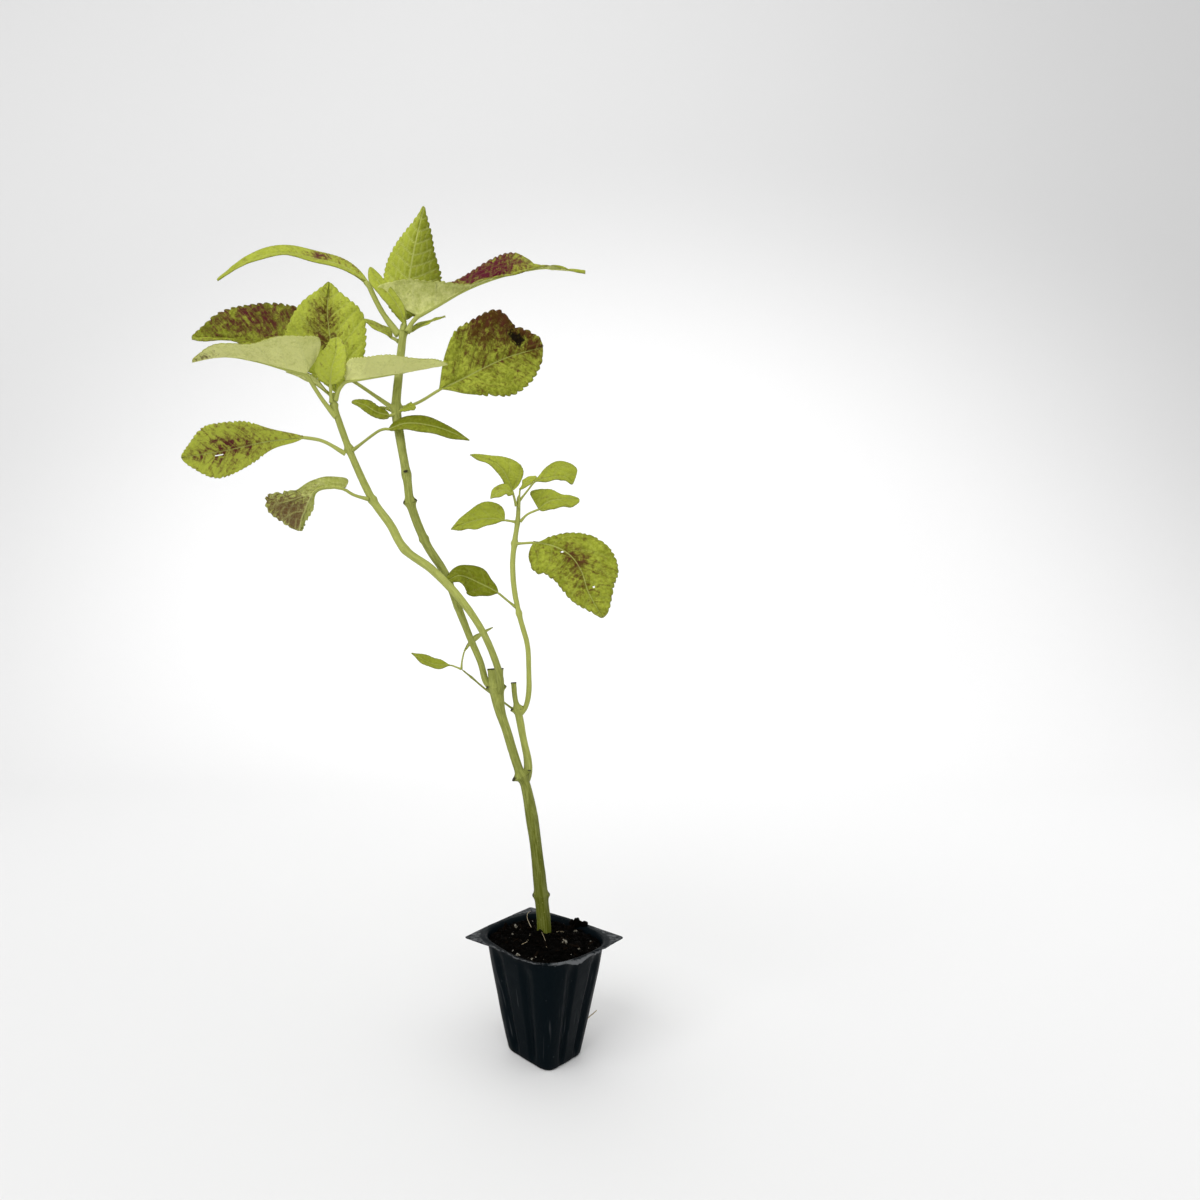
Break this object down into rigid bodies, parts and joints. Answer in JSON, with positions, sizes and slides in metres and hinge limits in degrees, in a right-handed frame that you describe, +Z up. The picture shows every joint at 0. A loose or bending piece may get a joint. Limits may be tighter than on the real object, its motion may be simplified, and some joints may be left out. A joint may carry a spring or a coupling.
{
  "type": "potted coleus cutting",
  "caption": "Young coleus with soft leaning stems and green-and-burgundy leaves, rooted in a small black plastic tray cell that stands on its flat base.",
  "frame": {"origin": "centre of the cell's flat base", "axes": "+Z up through the cell to the shoot tips; +X to the right and -Y towards the viewer, with the tall shoots leaning to -X"},
  "size_m": [0.2033, 0.0748, 0.3992],
  "materials": {
    "cell": "black thin-wall plastic, glossy with dust",
    "compost": "damp dark peat",
    "perlite": "matte off-white grains",
    "root": "matte cream",
    "stem": "soft olive green, slightly waxy",
    "green_leaf": "quilted yellow-green leaf, soft sheen",
    "purple_leaf": "quilted green and burgundy leaf, soft sheen"
  },
  "bodies": {
    "root": {"cell": "cell", "compost": "compost", "perlite_grain_1": "perlite", "perlite_grain_2": "perlite", "perlite_grain_3": "perlite", "perlite_grain_4": "perlite", "perlite_grain_5": "perlite", "perlite_grain_6": "perlite", "perlite_grain_7": "perlite", "perlite_grain_8": "perlite", "root_corner": "root", "root_middle": "root", "root_right": "root", "root_left": "root", "main_stem": "stem", "tall_shoot": "stem", "pale_shoot": "stem", "side_branch": "stem", "side_shoot": "stem", "twig": "stem", "crown_leaf_upright": "green_leaf", "crown_leaf_small": "green_leaf", "crown_leaflet_right": "green_leaf", "crown_leaflet_left": "green_leaf", "middle_leaf_right": "green_leaf", "bud_leaf_left": "green_leaf", "bud_leaf_back": "green_leaf", "bud_leaf_right": "green_leaf", "lower_leaf_right": "green_leaf", "pale_leaf_right": "green_leaf", "pale_leaf_back": "green_leaf", "pale_leaf_small": "green_leaf", "tip_leaf_left": "green_leaf", "tip_leaf_small": "green_leaf", "tip_leaf_right": "green_leaf", "tip_leaf_centre": "green_leaf", "side_leaf_right": "green_leaf", "side_leaf_left": "green_leaf", "broad_leaf": "green_leaf", "folded_leaf": "green_leaf", "twig_leaf_left": "green_leaf", "twig_leaf_right": "green_leaf", "crown_leaf_right": "purple_leaf", "crown_leaf_left": "purple_leaf", "middle_leaf_left": "purple_leaf", "lower_leaf_left": "purple_leaf", "drooping_leaf": "purple_leaf", "pale_leaf_left": "purple_leaf", "pale_leaf_upright": "purple_leaf"}
  },
  "joints": []
}
